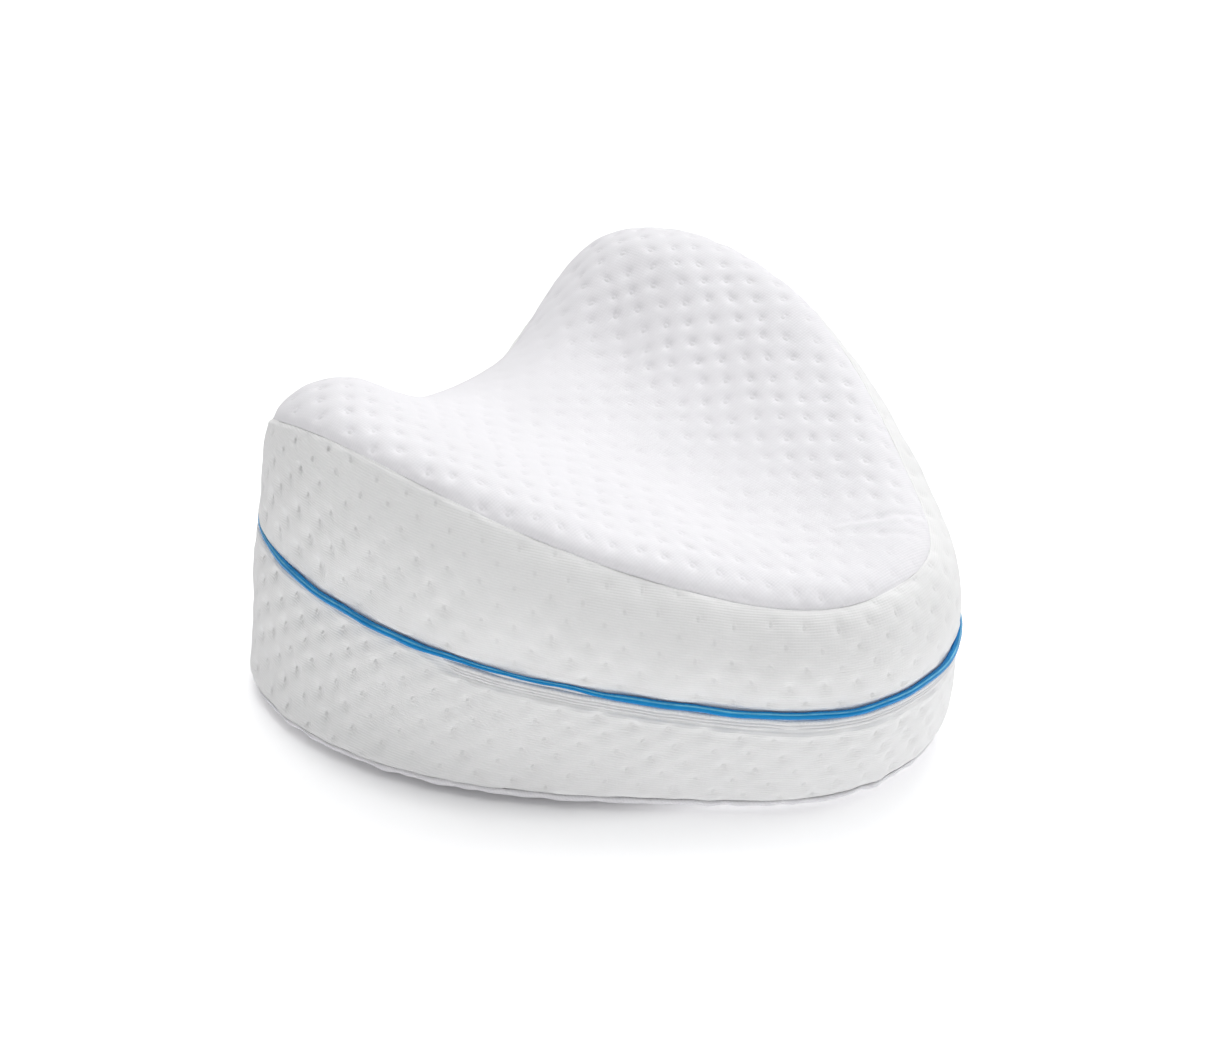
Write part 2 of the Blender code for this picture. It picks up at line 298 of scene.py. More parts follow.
# Dimples: pits stand in staggered rows. Pitch along a row, row spacing and shifts as drawn off the cloth.
TOP_PITCH = 14.85
TOP_ROW = 6.44
BAND_PITS_ROUND = 60
UPPER_ROW = 7.4
LOWER_ROW = 6.2
PIT_WIDTH = 1.1
PIT_DEPTH = 0.27
BOWL_WIDTH = 2.7
BOWL_DEPTH = 0.7
TALL_PITS = 1.2
WARP_LENGTH = 24.0
WARP_ALONG = 0.06
WARP_ACROSS = 0.11


def top_rows(x, w):
    """Numbering of the top panel's pits, along the rows and across them, from placed x and the run across."""
    a = x / 100.0
    b = w / 100.0
    along = -0.431 + 100.0 / TOP_PITCH * a + 0.067 * b + 0.117 * b**2 + 0.102 * a * b - 0.314 * a**2
    across = -7.532 + 100.0 / TOP_ROW * b + 1.339 * a + 0.028 * b**2 - 0.056 * a * b + 0.67 * a**2
    return along, across


def folded(a):
    """Places from the tip along the near side in hundreds of millimetres, run back before the notch."""
    half = PERIMETER / 200.0
    knots = (-half, -0.5, 2.8, half)
    return np.interp(a, knots, (1.15, -0.5, 2.8, 1.15))


def upper_rows(places, height):
    """Numbering of the upper band's pits, from the place along the piping and the height over it."""
    a = (places - 0.5 * PERIMETER) / 100.0
    b = height / 100.0
    f = folded(a)
    along = -0.69 + BAND_PITS_ROUND * a * 100.0 / PERIMETER + 0.64 * b - 1.42 * b**2 - 0.21 * f * b
    across = -2.56 + 12.5 * b + 5.9 * b**2 + 0.03 * f - 1.17 * f * b + 0.05 * f**2
    return along, across


def lower_rows(places, height):
    """Numbering of the lower band's pits, from the place along the piping and the height over it."""
    a = (places - 0.5 * PERIMETER) / 100.0
    b = height / 100.0
    f = folded(a)
    along = -1.98 + BAND_PITS_ROUND * a * 100.0 / PERIMETER + 4.55 * b + 2.6 * b**2 - 0.46 * f * b
    across = 4.16 + 16.9 * b + 0.85 * b**2 - 0.645 * f - 1.29 * f * b + 0.095 * f**2
    return along, across


def uneven(along, across, pitch, row, seed):
    """The numbering shifted a little from place to place, so that no row runs quite straight."""
    x = along * pitch
    y = across * row
    aside = WARP_ALONG * soft_noise(x, y, WARP_LENGTH, seed)
    return along + aside, across + WARP_ACROSS * soft_noise(x, y, WARP_LENGTH, seed + 100)


def dimples(along, across, pitch, row, seed, tall=1.0):
    """Depth in millimetres under the cloth's puffed face: sharp pits, each in a soft bowl."""
    first = np.floor(along + 0.5 * across)
    second = np.floor(along - 0.5 * across)
    depth = np.zeros_like(along)
    for i in (0.0, 1.0):
        for j in (0.0, 1.0):
            p = first + i
            q = second + j
            u = (along - 0.5 * (p + q)) * pitch
            v = (across - (p - q)) * row
            near = np.hypot(u * tall, v / tall) / PIT_WIDTH
            far = np.hypot(u, v) / BOWL_WIDTH
            deep = 0.7 + 0.6 * scatter(p, q, seed + 2)
            depth += deep * (PIT_DEPTH * np.exp(-(near**2)) + BOWL_DEPTH * np.exp(-(far**2)))
    return depth


def across_table(step=1.0):
    """Distance over the crest from the middle line, for whole stations and half widths."""
    x = np.arange(0.0, LENGTH + step, step)
    y = np.arange(0.0, 130.0, step)
    heights = crest(x[:, None], y[None, :])
    runs = np.hypot(step, np.diff(heights, axis=1))
    return np.concatenate([np.zeros((len(x), 1)), np.cumsum(runs, axis=1)], axis=1)


ACROSS = across_table()


def run_across(x, y):
    """Distance over the cloth from the middle line, with the side's sign."""
    i = np.clip(x, 0.0, ACROSS.shape[0] - 2.0)
    j = np.clip(np.abs(y), 0.0, ACROSS.shape[1] - 2.0)
    low_i = i.astype(int)
    low_j = j.astype(int)
    share_i = i - low_i
    share_j = j - low_j
    near = ACROSS[low_i, low_j] * (1.0 - share_i) + ACROSS[low_i + 1, low_j] * share_i
    far = ACROSS[low_i, low_j + 1] * (1.0 - share_i) + ACROSS[low_i + 1, low_j + 1] * share_i
    return np.sign(y) * (near * (1.0 - share_j) + far * share_j)


def ring_normals(rings):
    """Unit normals at the points of closed rings that lie one above the other."""
    across = np.gradient(rings, axis=0)
    along = np.roll(rings, -1, axis=1) - np.roll(rings, 1, axis=1)
    return unit(np.cross(along, across))


def ring_quads(rows, count):
    """Quads between neighbouring closed rings."""
    here = np.arange(count)
    after = (here + 1) % count
    low = (np.arange(rows - 1) * count)[:, None]
    return np.stack([low + here, low + after, low + count + after, low + count + here], axis=-1).reshape(-1, 4)


def fan(pole, start, count, turned):
    """Triangles between a ring that starts at a point number and a pole."""
    here = start + np.arange(count)
    after = start + (np.arange(count) + 1) % count
    ends = (after, here) if turned else (here, after)
    return np.stack([np.full(count, pole), *ends], axis=-1)


def add_coordinates(data, name, values, whole_turn):
    """A coordinate layer from a value for each point, run on past the place where a ring closes."""
    corners = np.zeros(len(data.loops), np.int32)
    data.loops.foreach_get("vertex_index", corners)
    spread = values[corners]
    starts = np.zeros(len(data.polygons), np.int32)
    data.polygons.foreach_get("loop_start", starts)
    highest = np.maximum.reduceat(spread[:, 0], starts)
    sizes = np.diff(np.append(starts, len(corners)))
    behind = np.repeat(highest, sizes) - spread[:, 0] > 0.5 * whole_turn
    spread[:, 0] += whole_turn * behind
    data.uv_layers.new(name=name).data.foreach_set("uv", spread.astype(np.float32).ravel())


def new_piece(name, points, faces, cloth, finish, pits=None):
    """A smooth mesh piece from millimetre points and faces, with cloth coordinates and pits for each point."""
    data = bpy.data.meshes.new(name)
    data.from_pydata((points * METRES).tolist(), [], [list(face) for group in faces for face in group.tolist()])
    add_coordinates(data, "cloth", cloth, PERIMETER)
    if pits is not None:
        numbers, depth, tall = pits
        add_coordinates(data, "pits", numbers, BAND_PITS_ROUND)
        for label, values in (("pit_depth", depth), ("pit_tall", tall)):
            layer = data.attributes.new(label, "FLOAT", "POINT")
            layer.data.foreach_set("value", values.astype(np.float32))
    data.shade_smooth()
    made = bpy.data.objects.new(name, data)
    bpy.context.scene.collection.objects.link(made)
    data.materials.append(finish)
    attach(made, "root")
    return made


def top_seam_depth(places):
    return 0.09 + 0.06 * ripple(places, (23.0, 11.0, 7.3), 5)


def bottom_seam_depth(places):
    return 0.5 + 0.25 * ripple(places, (37.0, 21.0, 13.0), 6)


def seam_pull(places, inside, seam):
    """How far a cloth dips towards its seam, and the puckers that run in from it."""
    if seam == "top":
        return top_seam_depth(places) * np.exp(-((inside / 1.1) ** 1.5))
    return bottom_seam_depth(places) * np.exp(-((inside / 1.5) ** 1.3))


def puckers(places, inside, seam):
    """Soft creases that run in from a seam, in millimetres."""
    if seam == "top":
        waves = ripple(places, (9.1, 6.3, 13.7, 19.0), 11) * (0.6 + 0.4 * ripple(places, (83.0, 51.0), 13))
        return 0.09 * waves * np.exp(-inside / 4.0)
    waves = ripple(places, (17.0, 24.0, 11.0), 12) * (0.7 + 0.3 * ripple(places, (97.0, 61.0), 14))
    return 0.4 * waves * np.exp(-inside / 7.0)


def corner_vectors(kind, places):
    """Unit vectors at a seam: into the panel, along the band towards the piping, and into the body."""
    small = 0.01
    if kind == "top":
        seam = top_face(np.ones_like(places), places)[0]
        panel = top_face(np.full_like(places, 1.0 - small), places)[0]
        band = upper_face(1.0 - small, places)
    else:
        seam = bottom_face(np.ones_like(places), places)[0]
        panel = bottom_face(np.full_like(places, 1.0 - small), places)[0]
        band = lower_face(1.0 - small, places)
    into_panel = unit(placed(panel) - placed(seam))
    into_band = unit(placed(band) - placed(seam))
    return into_panel, into_band, unit(into_panel + into_band)


def upper_face(share, places):
    seam = top_face(np.ones_like(places), places)[0]
    flare = -through(TOP_SEAM_INSETS, at_places(PIPING_LINE[:, 0], places))
    return band_face(share, places, seam[..., 2], flare, UPPER_BAND_CROWNS)


def lower_face(share, places):
    flare = through(BOTTOM_SEAM_FLARES, at_places(PIPING_LINE[:, 0], places))
    return band_face(share, places, BOTTOM_SEAM_HEIGHT, flare, LOWER_BAND_CROWNS)


CORNERS = {kind: corner_vectors(kind, PLACES) for kind in ("top", "bottom")}


# Cushion: the groove hugs the piping, and the zip lies in a shallow bed under it.
FIRST_SHARE = 0.045
ZIP_FIRST_STATION = 118.0
ZIP_TAPER = 18.0
ZIP_BED_HEIGHT = 7.0
ZIP_BED = (0.25, 0.45)
SEAM_ROLL = 0.4
SEAM_GAPS = {"top": 0.02, "bottom": 0.06}
BED_SHARES = (0.985, 0.93, 0.8, 0.6, 0.35)
BED_DEPTHS = (2.6, 3.6, 5.0, 6.0, 6.0)


def zip_share(places):
    """1 where the zip runs in full and 0 where there is none, with a taper between."""
    station = at_places(PIPING_LINE[:, 0], places)
    return smooth_step(ZIP_FIRST_STATION - 2.0, ZIP_FIRST_STATION + ZIP_TAPER, station)


def band_rows(kind, places, rows):
    """Placed points of one band's face with its dimples, from the piping to the seam, and its cloth run."""
    steps = np.linspace(0.0, 1.0, rows)
    steps -= ROW_CROWDING * np.sin(2.0 * np.pi * steps) / (2.0 * np.pi)
    shares = FIRST_SHARE + (1.0 - FIRST_SHARE) * steps
    upright = np.stack([(upper_face if kind == "top" else lower_face)(share, places) for share in shares])
    line = at_places(PIPING_LINE, places)
    over = upright[..., 2] - piping_height(line[:, 0])
    outward = at_places(OUTWARD, places)
    if kind == "bottom":
        out = ((upright[..., :2] - line) * outward).sum(axis=-1)
        bed = np.interp(-over, (0.0, ZIP_BED_HEIGHT), ZIP_BED)
        sunk = np.minimum(out, bed) - out
        sunk *= 1.0 - smooth_step(ZIP_BED_HEIGHT - 0.4, ZIP_BED_HEIGHT + 0.3, -over)
        upright[..., :2] += (sunk * zip_share(places))[..., None] * outward
    points = placed(upright)
    steps = np.linalg.norm(np.diff(points, axis=0), axis=-1)
    up = np.concatenate([np.zeros((1, len(places))), np.cumsum(steps, axis=0)])
    to_seam = up[-1] - up
    normals = ring_normals(points)
    normals *= np.sign((normals[..., :2] * outward).sum(axis=-1))[..., None]
    spread = np.broadcast_to(places, over.shape)
    number = upper_rows if kind == "top" else lower_rows
    along, across = number(spread, over)
    row = UPPER_ROW if kind == "top" else LOWER_ROW
    pitch = PERIMETER / BAND_PITS_ROUND
    ends = smooth_step(0.0, 25.0, np.minimum(spread, PERIMETER - spread))
    moved = uneven(along, across, pitch, row, 91 if kind == "top" else 92)
    along = along + ends * (moved[0] - along)
    across = across + ends * (moved[1] - across)
    deep = dimples(along, across, pitch, row, 3 if kind == "top" else 4, TALL_PITS)
    full = band_fullness(kind, spread, over)
    clear = smooth_step(0.0, 3.0, np.abs(over) - (2.0 if kind == "top" else 2.0 + 4.0 * zip_share(places)))
    full = full * clear * smooth_step(0.0, 2.5, to_seam)
    rise = full * (0.3 - deep)
    rise += puckers(spread, to_seam, kind)
    edge = 2.0 + 5.0 * zip_share(places) * (kind == "bottom")
    roll = np.exp(-(((np.abs(over) - edge - 1.6) / 1.3) ** 2))
    rise += SEAM_ROLL * roll * (1.0 + 0.5 * ripple(spread, (29.0, 17.0, 10.0), 21))
    rise += 0.35 * soft_noise(spread, over, 30.0, 31 if kind == "top" else 32)
    if kind == "top":
        rise += band_folds(spread, to_seam)
    rise *= smooth_step(0.0, 2.0, to_seam) * 0.7 + 0.3
    points = points + rise[..., None] * normals
    inward = at_places(CORNERS[kind][2], places)
    points = points + seam_pull(spread, to_seam, kind)[..., None] * inward
    back = at_places(CORNERS[kind][1] - CORNERS[kind][0], places)
    points[-1] += 0.5 * SEAM_GAPS[kind] * unit(back)
    return points, up, np.dstack([along, across, full])


def band_folds(places, to_seam):
    """The seam allowance that lifts the upper band beside the lobes, and the puff under the tip's corner."""
    a = (places - 0.5 * PERIMETER) / 100.0
    lobe = smooth_step(1.3, 1.9, np.abs(a))
    ridge = 0.4 * lobe * np.exp(-(((to_seam - 1.6) / 1.2) ** 2))
    return ridge + 0.8 * np.exp(-(((a - 0.25) / 0.3) ** 2) - ((to_seam - 6.0) / 5.0) ** 2)


def band_fullness(kind, places, over):
    """How deep the dimples are along a band: full on the lobe and the tip, flatter between."""
    a = (places - 0.5 * PERIMETER) / 100.0
    near = np.abs(np.abs(a) - 2.7)
    lobe = np.exp(-((near / 0.7) ** 2))
    tip = np.exp(-((a / 0.7) ** 2))
    return 0.85 + 0.75 * lobe + 0.2 * tip + 0.15 * soft_noise(places, over, 45.0, 41)


def body_points():
    """Rings of the filled body from its hidden underside to its hidden top, and their cloth coordinates."""
    places = np.arange(BAND_COLUMNS) * PERIMETER / BAND_COLUMNS
    lower, lower_up, lower_pits = band_rows("bottom", places, LOWER_ROWS)
    upper, upper_up, upper_pits = band_rows("top", places, UPPER_ROWS)
    radius, out = cord_section(places)
    walls = [(np.full(BAND_COLUMNS, 0.15), radius + 0.2), (out - 0.8 * radius, 0.75 * radius)]
    groove = [placed(side_points(places, aside, -height)) for aside, height in walls]
    groove.append(placed(side_points(places, out - radius - 0.2, 0.0)))
    groove += [placed(side_points(places, aside, height)) for aside, height in walls[::-1]]
    under = []
    over = []
    for share, depth in zip(BED_SHARES, BED_DEPTHS):
        spread = np.full(BAND_COLUMNS, share)
        low = placed(bottom_face(spread, places)[0])
        low[:, 2] = np.maximum(low[:, 2], 0.0) + depth
        high = placed(top_face(spread, places)[0])
        high[:, 2] -= depth
        under.append(low)
        over.append(high)
    rings = under[::-1] + list(lower[::-1]) + groove + list(upper) + over
    run = np.concatenate([
        np.full((len(under), BAND_COLUMNS), -80.0),
        -lower_up[::-1] - 2.0,
        np.zeros((len(groove), BAND_COLUMNS)),
        upper_up + 2.0,
        np.full((len(over), BAND_COLUMNS), 80.0),
    ])
    cloth = np.dstack([np.broadcast_to(places, run.shape), run])
    plain = np.zeros((1, BAND_COLUMNS, 3))
    pits = [plain.repeat(len(under), axis=0), lower_pits[::-1], plain.repeat(len(groove), axis=0)]
    pits = np.concatenate([*pits, upper_pits, plain.repeat(len(over), axis=0)])
    return np.stack(rings), cloth, pits


def pole(height):
    return placed(np.array([[CENTRE[0], CENTRE[1], height]]))


def make_cushion(knit):
    rings, cloth, pits = body_points()
    rows, count = rings.shape[:2]
    top = float(crest(np.array([CENTRE[0]]), np.array([0.0]))[0]) - BED_DEPTHS[-1]
    points = np.concatenate([rings.reshape(-1, 3), pole(BED_DEPTHS[-1]), pole(top)])
    faces = [
        ring_quads(rows, count),
        fan(rows * count, 0, count, True),
        fan(rows * count + 1, (rows - 1) * count, count, False),
    ]
    coords = np.concatenate([cloth.reshape(-1, 2), np.zeros((2, 2))])
    pits = np.concatenate([pits.reshape(-1, 3), np.zeros((2, 3))])
    pits = (pits[:, :2], pits[:, 2], np.ones(len(points)))
    piece = new_piece("filled_body", points, faces, coords, knit, pits)
    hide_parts("cushion")
    return piece


def disc_grid(count):
    """A square grid laid over a disc: each point's share of the radius and its turn, and the rim's order."""
    steps = np.linspace(-1.0, 1.0, count + 1)
    a, b = np.meshgrid(steps, steps, indexing="ij")
    wide = np.abs(a) >= np.abs(b)
    share = np.maximum(np.abs(a), np.abs(b))
    safe_a = np.where(np.abs(a) < 1e-12, 1.0, a)
    safe_b = np.where(np.abs(b) < 1e-12, 1.0, b)
    turn = np.where(wide, 0.25 * np.pi * b / safe_a, 0.5 * np.pi - 0.25 * np.pi * a / safe_b)
    turn = np.where(wide & (a < 0.0), turn + np.pi, turn)
    turn = np.where(~wide & (b < 0.0), turn + np.pi, turn)
    number = np.arange((count + 1) ** 2).reshape(count + 1, count + 1)
    quads = np.stack([number[:-1, :-1], number[1:, :-1], number[1:, 1:], number[:-1, 1:]], axis=-1).reshape(-1, 4)
    rim = np.concatenate([number[-1, :-1], number[::-1, -1][:-1], number[0, ::-1][:-1], number[:-1, 0]])
    return share.ravel(), (turn.ravel() / (2.0 * np.pi)) % 1.0, quads, rim


def grid_normals(points, count):
    shaped = points.reshape(count + 1, count + 1, 3)
    return unit(np.cross(np.gradient(shaped, axis=0), np.gradient(shaped, axis=1))).reshape(-1, 3)


# The top cloth is rounded over its edge before it meets the seam.
EDGE_FULLNESS = 2.5
EDGE_ROUNDING = 3.2
EDGE_REACH = (6.0, 28.0)
LINE_FROM_TIP = (30.0, 155.0)

UNDER_SHARES = (0.99, 0.96, 0.92, 0.87, 0.81, 0.74, 0.66, 0.57, 0.48, 0.38, 0.28, 0.18, 0.09)


def sheet_piece(name, kind, count, knit):
    """A closed sheet of cloth: its dimpled face on a square grid, and a plain hidden side."""
    share, turn, quads, rim = disc_grid(count)
    places = (turn * PERIMETER) % PERIMETER
    face = top_face if kind == "top" else bottom_face
    upright, inside = face(share, places)
    points = placed(upright)
    normals = grid_normals(points, count)
    normals *= np.sign(normals[:, 2].sum()) * (1.0 if kind == "top" else -1.0)
    x = points[:, 0]
    if kind == "top":
        w = run_across(upright[:, 0], upright[:, 1])
        along, across = uneven(*top_rows(x, w), TOP_PITCH, TOP_ROW, 93)
        full = top_fullness(x, w) * smooth_step(0.0, 2.5, inside)
        rise = full * (0.35 - dimples(along, across, TOP_PITCH, TOP_ROW, 2))
        rise += 0.5 * soft_noise(x, w, 42.0, 51)
        rise += top_creases(x, points[:, 1])
    else:
        w = points[:, 1]
        along, across = uneven(x / TOP_PITCH, w / TOP_ROW, TOP_PITCH, TOP_ROW, 94)
        full = 0.6 * smooth_step(0.0, 2.5, inside)
        rise = full * (0.2 - dimples(along, across, TOP_PITCH, TOP_ROW, 8))
    rise += puckers(places, inside, kind)
    if kind == "bottom":
        rise = np.minimum(rise, 0.5 * np.maximum(points[:, 2], 0.0))
    rise *= smooth_step(0.0, 2.0, inside) * 0.7 + 0.3
    if kind == "top":
        rise += EDGE_FULLNESS * (1.0 - np.exp(-inside / EDGE_ROUNDING)) * (1.0 - smooth_step(*EDGE_REACH, inside))
    points = points + rise[:, None] * normals
    inward = at_places(CORNERS[kind][2], places)
    points = points + seam_pull(places, inside, kind)[:, None] * inward
    apart = at_places(unit(CORNERS[kind][0] - CORNERS[kind][1]), places[rim])
    points[rim] += 0.5 * SEAM_GAPS[kind] * apart
    rings = []
    rim_places = places[rim]
    for step in UNDER_SHARES:
        ring = placed(face(np.full(len(rim), step), rim_places)[0])
        ring[:, 2] += -PANEL_THICKNESS if kind == "top" else PANEL_THICKNESS
        rings.append(ring)
    coarse = 4
    thin = [ring[::coarse] for ring in rings]
    start = len(points)
    width = len(thin[0])
    hub = placed(face(np.zeros(1), np.zeros(1))[0])
    hub[:, 2] += -PANEL_THICKNESS if kind == "top" else PANEL_THICKNESS
    points = np.concatenate([points, *thin, hub])
    here = np.arange(width)
    after = (here + 1) % width
    bridge = [start + here, start + after]
    bridge += [rim[((here + 1) * coarse - step) % len(rim)] for step in range(coarse + 1)]
    faces = [quads, np.stack(bridge, axis=-1)]
    faces.append(start + ring_quads(len(thin), width)[:, ::-1])
    faces.append(fan(len(points) - 1, start + (len(thin) - 1) * width, width, True))
    if kind == "bottom":
        faces = [group[:, ::-1] for group in faces]
    coords = np.zeros((len(points), 5))
    coords[: len(x)] = np.stack([w, x, along, across, full], axis=-1)
    pits = (coords[:, 2:4], coords[:, 4], np.zeros(len(points)))
    made = new_piece(name, points, faces, coords[:, :2], knit, pits)
    if kind == "top":
        part_at_rim(made.data, rim, places)
    return made


def part_at_rim(data, rim, places):
    """Keep the cloth's face pale up to its seam, but for the near side, where the seam is a thin dark line."""
    ends = np.zeros(2 * len(data.edges), np.int32)
    data.edges.foreach_get("vertices", ends)
    on_rim = np.zeros(len(data.vertices), bool)
    from_tip = places[rim] - 0.5 * PERIMETER
    on_rim[rim[(from_tip < LINE_FROM_TIP[0]) | (from_tip > LINE_FROM_TIP[1])]] = True
    parted = on_rim[ends].reshape(-1, 2).all(axis=1)
    data.attributes.new("sharp_edge", "BOOLEAN", "EDGE").data.foreach_set("value", parted)


def top_fullness(x, w):
    """How deep the top panel's dimples are: faint along the trough and at the notch, full on the slopes."""
    notch = np.exp(-(((x + 95.0) / 22.0) ** 2) - (w / 45.0) ** 2)
    slopes = 0.65 * smooth_step(12.0, 55.0, np.abs(w))
    return (0.42 + slopes + 0.2 * soft_noise(x, w, 50.0, 61)) * (1.0 - 0.8 * notch)


def crease(x, y, start, end, width, depth):
    """A soft trough along a line between two places."""
    start = np.array(start)
    way = np.array(end) - start
    length = np.linalg.norm(way)
    way = way / length
    along = (x - start[0]) * way[0] + (y - start[1]) * way[1]
    aside = (x - start[0]) * way[1] - (y - start[1]) * way[0]
    fade = smooth_step(-0.15 * length, 0.25 * length, along) * (1.0 - smooth_step(0.7 * length, 1.15 * length, along))
    return -depth * fade * np.exp(-((aside / width) ** 2))


def top_creases(x, y):
    fold = crease(x, y, (76.0, 12.0), (93.0, 42.0), 1.5, 0.7)
    ridge = crease(x, y, (79.0, 10.5), (96.0, 40.0), 2.2, -0.5)
    beside = crease(x, y, (88.0, 14.0), (101.0, 30.0), 1.8, 0.4)
    return fold + ridge + beside


def make_top_panel(knit):
    piece = sheet_piece("top_cloth", "top", TOP_GRID, knit)
    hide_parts("top_panel")
    return piece


def make_bottom_panel(knit):
    piece = sheet_piece("bottom_cloth", "bottom", BOTTOM_GRID, knit)
    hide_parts("bottom_panel")
    return piece


# The cord: a little thinner than the solid that it stands for. It lies flush round the lobes, and on the near
# side it has a kink and then sinks between the bands.
CORD_RADIUS = 1.42
CORD_STAND_OUT = 1.3
CORD_FLUSH = 1.9
SUNK_PLACES = (500.0, 526.0, 548.0, 592.0)
SUNK_SHARE = 0.4
KINK_PLACE = 585.0


def cord_section(places):
    """Radius of the cord, and how far its middle stands out from the piping line."""
    station = at_places(PIPING_LINE[:, 0], places)
    sunk = smooth_step(*SUNK_PLACES[:2], places) * (1.0 - smooth_step(*SUNK_PLACES[2:], places))
    radius = CORD_RADIUS * (1.0 + 0.035 * ripple(places, (31.0, 17.0, 9.0), 71) - SUNK_SHARE * sunk)
    radius += 0.12 * np.exp(-(((places - KINK_PLACE) / 3.0) ** 2))
    out = CORD_STAND_OUT + 0.15 * ripple(places, (83.0, 47.0, 29.0), 72) - 0.4 * sunk
    return radius, out - CORD_FLUSH * (1.0 - smooth_step(25.0, 65.0, station))


def make_piping(blue):
    """The covered cord all round, slightly uneven, and sunk between the bands along a part of the near side."""
    places = np.arange(PIPING_COLUMNS) * PERIMETER / PIPING_COLUMNS
    turns = np.arange(PIPING_SIDES) * 2.0 * np.pi / PIPING_SIDES - np.pi
    radius, out = cord_section(places)
    lift = 0.25 * ripple(places, (97.0, 41.0, 23.0), 73)
    rings = []
    for turn in turns:
        rings.append(placed(side_points(places, out + radius * math.cos(turn), lift + radius * math.sin(turn))))
    rings = np.stack(rings, axis=1)
    count = PIPING_SIDES
    points = rings.reshape(-1, 3)
    here = np.arange(PIPING_COLUMNS)
    after = (here + 1) % PIPING_COLUMNS
    side = np.arange(count)
    up = (side + 1) % count
    quads = np.stack([
        here[:, None] * count + side,
        after[:, None] * count + side,
        after[:, None] * count + up,
        here[:, None] * count + up,
    ], axis=-1).reshape(-1, 4)
    coords = np.dstack([np.repeat(places[:, None], count, axis=1), np.repeat(turns[None] * PIPING_RADIUS, len(places), axis=0)])
    piece = new_piece("piping_cord", points, [quads], coords.reshape(-1, 2), blue)
    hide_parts("piping")
    return piece


# Zip: stand-out from the piping line and height against it, from the tape's lower edge to its hidden back.
ZIP_SECTION = (
    (0.20, -6.55),
    (0.60, -6.50),
    (0.82, -6.20),
    (0.85, -5.75),
    (0.78, -5.50),
    (0.55, -5.32),
    (0.76, -5.12),
    (0.95, -4.85),
    (0.95, -4.50),
    (0.82, -4.20),
    (0.62, -4.02),
    (0.85, -3.85),
    (1.10, -3.60),
    (1.22, -3.20),
    (1.22, -2.70),
    (1.05, -2.35),
    (0.70, -2.10),
    (0.20, -2.00),
)
COIL_POINTS = (11, 16)
COIL_PITCH = 1.5
COIL_DEPTH = 0.18


def make_zip(white):
    """The zip line along both sides and round the tip: tape, two grooves and a ribbed coil."""
    ends = PLACES[PIPING_LINE[:, 0] > ZIP_FIRST_STATION]
    places = np.linspace(ends.min(), ends.max(), ZIP_COLUMNS)
    rib = 0.5 - 0.5 * np.cos(2.0 * np.pi * places / COIL_PITCH)
    rings = []
    hidden = 1.0 - smooth_step(0.0, ZIP_TAPER, at_places(PIPING_LINE[:, 0], places) - ZIP_FIRST_STATION)
    for index, (out, height) in enumerate(ZIP_SECTION):
        sink = COIL_DEPTH * rib if COIL_POINTS[0] < index < COIL_POINTS[1] else 0.0 * rib
        wander = 0.12 * ripple(places, (61.0, 27.0, 15.0), 81)
        raised = 0.6 * hidden * (ZIP_SECTION[-1][1] - height)
        rings.append(placed(side_points(places, out - sink - 1.3 * hidden, height + wander + raised)))
    rings = np.stack(rings, axis=1)
    count = len(ZIP_SECTION)
    here = np.arange(ZIP_COLUMNS - 1)
    side = np.arange(count)
    up = (side + 1) % count
    quads = np.stack([
        here[:, None] * count + side,
        (here[:, None] + 1) * count + side,
        (here[:, None] + 1) * count + up,
        here[:, None] * count + up,
    ], axis=-1).reshape(-1, 4)
    last = (ZIP_COLUMNS - 1) * count
    ends = [np.arange(count)[None], (last + np.arange(count))[::-1][None]]
    run = np.array([height for _, height in ZIP_SECTION])
    coords = np.dstack([np.repeat(places[:, None], count, axis=1), np.repeat(run[None], len(places), axis=0)])
    piece = new_piece("zip_line", rings.reshape(-1, 3), [quads, *ends], coords.reshape(-1, 2), white)
    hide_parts("zip_coil")
    return piece


def node(tree, kind, place, **values):
    made = tree.nodes.new(kind)
    made.location = place
    for name, value in values.items():
        setattr(made, name, value)
    return made


def maths(tree, operation, place, *inputs):
    """One step of arithmetic in a material, on sockets and numbers."""
    made = node(tree, "ShaderNodeMath", place, operation=operation)
    for slot, value in zip(made.inputs, inputs):
        if isinstance(value, bpy.types.NodeSocket):
            tree.links.new(value, slot)
        else:
            slot.default_value = value
    return made.outputs[0]


def noise(tree, place, scale, detail=2.0):
    """Even noise in the piece's own space, with a feature size of one over the scale in metres."""
    spot = node(tree, "ShaderNodeTexCoord", (place[0] - 200, place[1]))
    made = node(tree, "ShaderNodeTexNoise", place)
    made.inputs["Scale"].default_value = scale
    made.inputs["Detail"].default_value = detail
    tree.links.new(spot.outputs["Object"], made.inputs["Vector"])
    return made.outputs["Fac"]


def layer_parts(tree, place, name):
    """Both parts of a coordinate layer."""
    layer = node(tree, "ShaderNodeUVMap", place, uv_map=name)
    split = node(tree, "ShaderNodeSeparateXYZ", (place[0] + 180, place[1]))
    tree.links.new(layer.outputs["UV"], split.inputs["Vector"])
    return split.outputs["X"], split.outputs["Y"]


def blend(tree, place, share, first, second):
    """A colour between two, by a share."""
    made = node(tree, "ShaderNodeMix", place, data_type="RGBA")
    made.inputs["A"].default_value = (*first, 1.0)
    made.inputs["B"].default_value = (*second, 1.0)
    tree.links.new(share, made.inputs["Factor"])
    return made.outputs["Result"]


def relief(tree, place, height, depth, below=None):
    """A bump of a depth in metres, over another one if there is one."""
    made = node(tree, "ShaderNodeBump", place)
    made.inputs["Distance"].default_value = depth
    tree.links.new(height, made.inputs["Height"])
    if below is not None:
        tree.links.new(below, made.inputs["Normal"])
    return made.outputs["Normal"]


